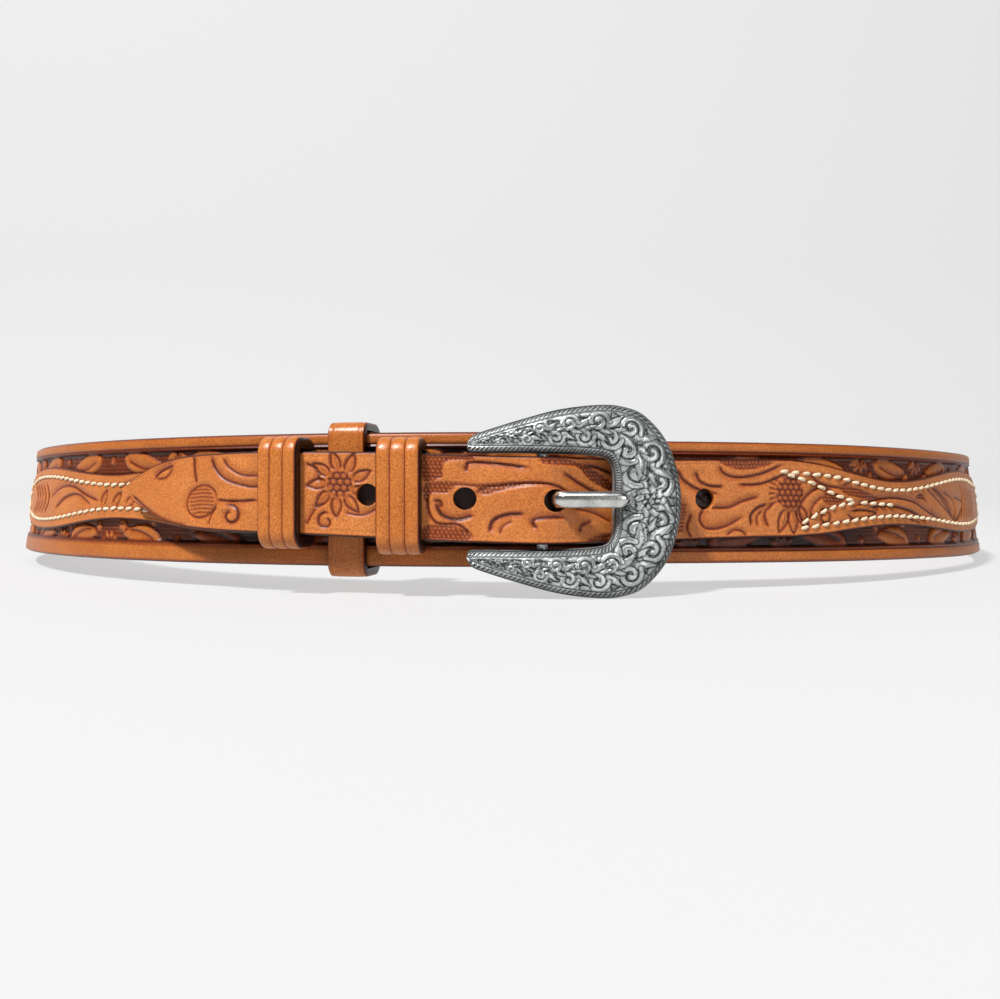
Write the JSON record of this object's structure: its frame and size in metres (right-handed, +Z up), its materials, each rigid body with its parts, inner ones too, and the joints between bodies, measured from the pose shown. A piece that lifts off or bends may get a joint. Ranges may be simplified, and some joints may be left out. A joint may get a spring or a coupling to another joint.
{
  "type": "western tooled belt",
  "caption": "Buckled leather waist belt with raised borders, carved field, narrow billets through keepers and a horseshoe buckle.",
  "frame": {"origin": "on the surface it stands on, under the centre of its bounding box", "axes": "+X to the right as seen from the buckle side, -Y towards the viewer and the buckle, +Z up"},
  "size_m": [0.3984, 0.307, 0.0529],
  "materials": {
    "belt_leather": "carved, mahogany antiquing in the recesses, satin borders",
    "billet_leather": "carved and stamped, oiled satin",
    "keeper_leather": "smooth, burnished",
    "thread": "off-white waxed thread",
    "antique_silver": "engraved, blackened recesses, worn bright on the raised parts",
    "polished_silver": "smooth, lightly scratched"
  },
  "bodies": {
    "root": {"belt_body": "belt_leather", "billet_short": "billet_leather", "billet_long": "billet_leather", "keeper_ridged_left": "keeper_leather", "keeper_plain": "keeper_leather", "keeper_ridged_right": "keeper_leather", "buckle_frame": "antique_silver", "buckle_tongue": "polished_silver"}
  },
  "joints": []
}
